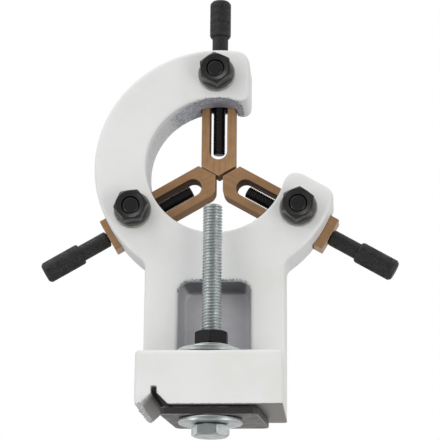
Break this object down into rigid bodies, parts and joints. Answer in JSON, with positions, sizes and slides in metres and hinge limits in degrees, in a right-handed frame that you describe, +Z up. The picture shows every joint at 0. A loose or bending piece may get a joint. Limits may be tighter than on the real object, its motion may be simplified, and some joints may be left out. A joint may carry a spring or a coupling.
{
  "type": "lathe fixed steady rest",
  "caption": "Open cast ring on a pedestal with slotted bronze fingers on knurled adjusting screws and a bolt clamp; holds long round work steady on a lathe bed.",
  "frame": {"origin": "on the machined bed face, under the bore axis, in the plane of the ring's front face", "axes": "+Z up to the bore axis, -Y toward the front with the lock nuts, +X toward the ring's open side"},
  "size_m": [0.1819, 0.0656, 0.2391],
  "materials": {
    "paint": "satin",
    "bronze": "satin",
    "black_oxide": "satin",
    "dark_steel": "satin",
    "zinc_plate": "satin"
  },
  "bodies": {
    "frame": {"frame_casting": "paint", "lock_bolt_top": "black_oxide", "lock_bolt_left": "black_oxide", "lock_bolt_right": "black_oxide", "back_washer_top": "dark_steel", "back_washer_left": "dark_steel", "back_washer_right": "dark_steel", "clamp_washer_large": "zinc_plate", "clamp_washer_small": "zinc_plate"},
    "finger_top": {"finger_top": "bronze"},
    "screw_top": {"screw_top": "black_oxide", "screw_clip_top": "dark_steel"},
    "lock_washer_top": {"lock_washer_top": "dark_steel"},
    "lock_nut_top": {"lock_nut_top": "black_oxide"},
    "finger_left": {"finger_left": "bronze"},
    "screw_left": {"screw_left": "black_oxide", "screw_clip_left": "dark_steel"},
    "lock_washer_left": {"lock_washer_left": "dark_steel"},
    "lock_nut_left": {"lock_nut_left": "black_oxide"},
    "finger_right": {"finger_right": "bronze"},
    "screw_right": {"screw_right": "black_oxide", "screw_clip_right": "dark_steel"},
    "lock_washer_right": {"lock_washer_right": "dark_steel"},
    "lock_nut_right": {"lock_nut_right": "black_oxide"},
    "clamp_nut": {"clamp_nut": "black_oxide"},
    "clamp_bolt": {"clamp_bolt": "zinc_plate", "clamp_plate_washer": "zinc_plate"},
    "clamp_plate": {"clamp_plate": "dark_steel"}
  },
  "joints": [
    {"name": "finger_top_slide", "type": "slide", "parent": "frame", "child": "finger_top", "axis": [0, 0, 1], "range_m": [0, 0.03]},
    {"name": "screw_top_turn", "type": "hinge", "parent": "finger_top", "child": "screw_top", "pos_m": [0, 0.021, 0.127], "axis": [0, 0, 1], "range_deg": [0, 10800]},
    {"name": "lock_washer_top_slide", "type": "slide", "parent": "frame", "child": "lock_washer_top", "axis": [0, -1, 0], "range_m": [0, 0.0015]},
    {"name": "lock_nut_top_turn", "type": "hinge", "parent": "lock_washer_top", "child": "lock_nut_top", "pos_m": [0, 0, 0.17485], "axis": [0, -1, 0], "range_deg": [0, 360]},
    {"name": "finger_left_slide", "type": "slide", "parent": "frame", "child": "finger_left", "axis": [-0.866, 0, -0.5], "range_m": [0, 0.03]},
    {"name": "screw_left_turn", "type": "hinge", "parent": "finger_left", "child": "screw_left", "pos_m": [0, 0.021, 0.127], "axis": [-0.866, 0, -0.5], "range_deg": [0, 10800]},
    {"name": "lock_washer_left_slide", "type": "slide", "parent": "frame", "child": "lock_washer_left", "axis": [0, -1, 0], "range_m": [0, 0.0015]},
    {"name": "lock_nut_left_turn", "type": "hinge", "parent": "lock_washer_left", "child": "lock_nut_left", "pos_m": [-0.04144, 0, 0.10307], "axis": [0, -1, 0], "range_deg": [0, 360]},
    {"name": "finger_right_slide", "type": "slide", "parent": "frame", "child": "finger_right", "axis": [0.866, 0, -0.5], "range_m": [0, 0.03]},
    {"name": "screw_right_turn", "type": "hinge", "parent": "finger_right", "child": "screw_right", "pos_m": [0, 0.021, 0.127], "axis": [0.866, 0, -0.5], "range_deg": [0, 10800]},
    {"name": "lock_washer_right_slide", "type": "slide", "parent": "frame", "child": "lock_washer_right", "axis": [0, -1, 0], "range_m": [0, 0.0015]},
    {"name": "lock_nut_right_turn", "type": "hinge", "parent": "lock_washer_right", "child": "lock_nut_right", "pos_m": [0.04144, 0, 0.10307], "axis": [0, -1, 0], "range_deg": [0, 360]},
    {"name": "clamp_nut_turn", "type": "hinge", "parent": "frame", "child": "clamp_nut", "pos_m": [0, -0.015, 0.03395], "axis": [0, 0, 1], "range_deg": [0, 6000]},
    {"name": "clamp_bolt_slide", "type": "slide", "parent": "frame", "child": "clamp_bolt", "axis": [0, 0, -1], "range_m": [0, 0.025]},
    {"name": "clamp_plate_swivel", "type": "hinge", "parent": "clamp_bolt", "child": "clamp_plate", "pos_m": [0, -0.015, -0.00255], "axis": [0, 0, 1], "continuous": true}
  ],
  "couplings": [
    {"joint": "screw_top_turn", "follows": "finger_top_slide", "rad_per_m": 6283.2},
    {"joint": "lock_washer_top_slide", "follows": "lock_nut_top_turn", "m_per_rad": 0.00023873},
    {"joint": "screw_left_turn", "follows": "finger_left_slide", "rad_per_m": 6283.2},
    {"joint": "lock_washer_left_slide", "follows": "lock_nut_left_turn", "m_per_rad": 0.00023873},
    {"joint": "screw_right_turn", "follows": "finger_right_slide", "rad_per_m": 6283.2},
    {"joint": "lock_washer_right_slide", "follows": "lock_nut_right_turn", "m_per_rad": 0.00023873},
    {"joint": "clamp_nut_turn", "follows": "clamp_bolt_slide", "rad_per_m": 4188.8}
  ]
}
